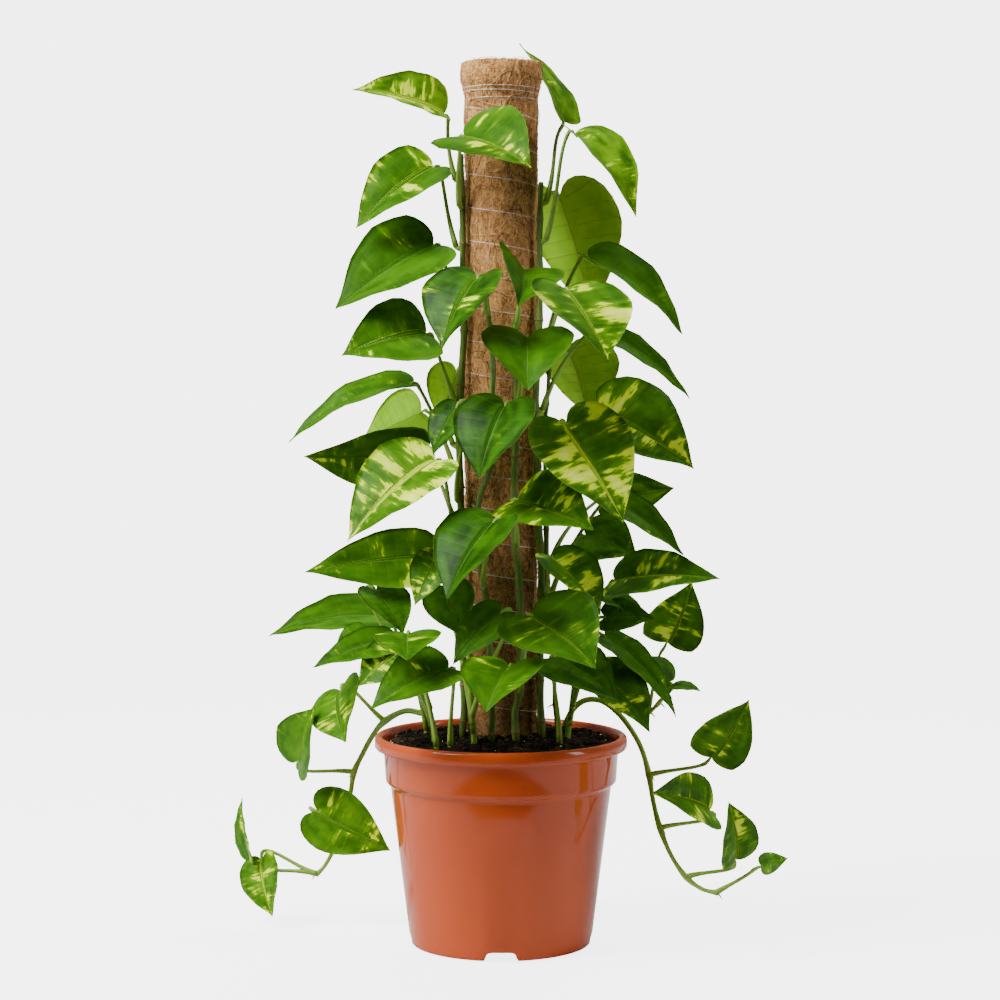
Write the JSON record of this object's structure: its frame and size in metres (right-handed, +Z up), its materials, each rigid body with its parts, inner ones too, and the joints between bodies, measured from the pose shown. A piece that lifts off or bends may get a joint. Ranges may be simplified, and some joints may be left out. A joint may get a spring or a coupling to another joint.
{
  "type": "potted pothos plant",
  "caption": "Golden pothos climbing a coir moss pole in a round plastic nursery pot, with heart-shaped variegated leaves and two trailing vines.",
  "frame": {"origin": "centre of the flat pad on the pot's underside, level with the surface the pot stands on", "axes": "+Z up along the pole, -Y is the plant's front with most of the leaves, +X to the right seen from the front"},
  "size_m": [0.4636, 0.2572, 0.7518],
  "materials": {
    "pot_plastic": "terracotta-coloured, thin, glossy",
    "potting_soil": "dark, moist and crumbly",
    "coir": "matted brown coconut fibre",
    "pole_core": "plain inner tube",
    "thread": "thin translucent binding thread",
    "stem": "green, slightly ridged",
    "leaf": "waxy green with yellow and cream variegation"
  },
  "bodies": {
    "root": {"pot": "pot_plastic", "soil": "potting_soil", "pole_core": "pole_core", "coir_sleeve": "coir", "binding_thread": "thread", "stem_left": "stem", "stem_centre_left": "stem", "stem_centre_right": "stem", "stem_right": "stem", "stem_right_thin": "stem", "stem_back": "stem", "leaf_left_01": "leaf", "leaf_left_02": "leaf", "leaf_left_03": "leaf", "leaf_left_04": "leaf", "leaf_left_05": "leaf", "leaf_left_06": "leaf", "leaf_left_07": "leaf", "leaf_left_08": "leaf", "leaf_left_09": "leaf", "leaf_left_10": "leaf", "leaf_left_11": "leaf", "leaf_front_01": "leaf", "leaf_front_02": "leaf", "leaf_front_03": "leaf", "leaf_front_04": "leaf", "leaf_front_05": "leaf", "leaf_front_06": "leaf", "leaf_front_07": "leaf", "leaf_front_08": "leaf", "leaf_right_01": "leaf", "leaf_right_02": "leaf", "leaf_right_03": "leaf", "leaf_right_04": "leaf", "leaf_right_05": "leaf", "leaf_right_06": "leaf", "leaf_right_07": "leaf", "leaf_right_08": "leaf", "leaf_right_09": "leaf", "leaf_right_10": "leaf", "leaf_right_11": "leaf", "leaf_right_12": "leaf", "leaf_right_13": "leaf", "leaf_right_14": "leaf", "leaf_right_15": "leaf", "leaf_low_01": "leaf", "leaf_low_02": "leaf", "leaf_low_03": "leaf", "leaf_low_04": "leaf", "leaf_back_01": "leaf", "leaf_back_02": "leaf", "leaf_back_03": "leaf", "leaf_back_04": "leaf", "leaf_back_05": "leaf", "shoot_left": "leaf", "shoot_front": "leaf", "shoot_right": "leaf", "vine_left": "leaf", "vine_right": "leaf", "vine_side": "leaf"}
  },
  "joints": []
}
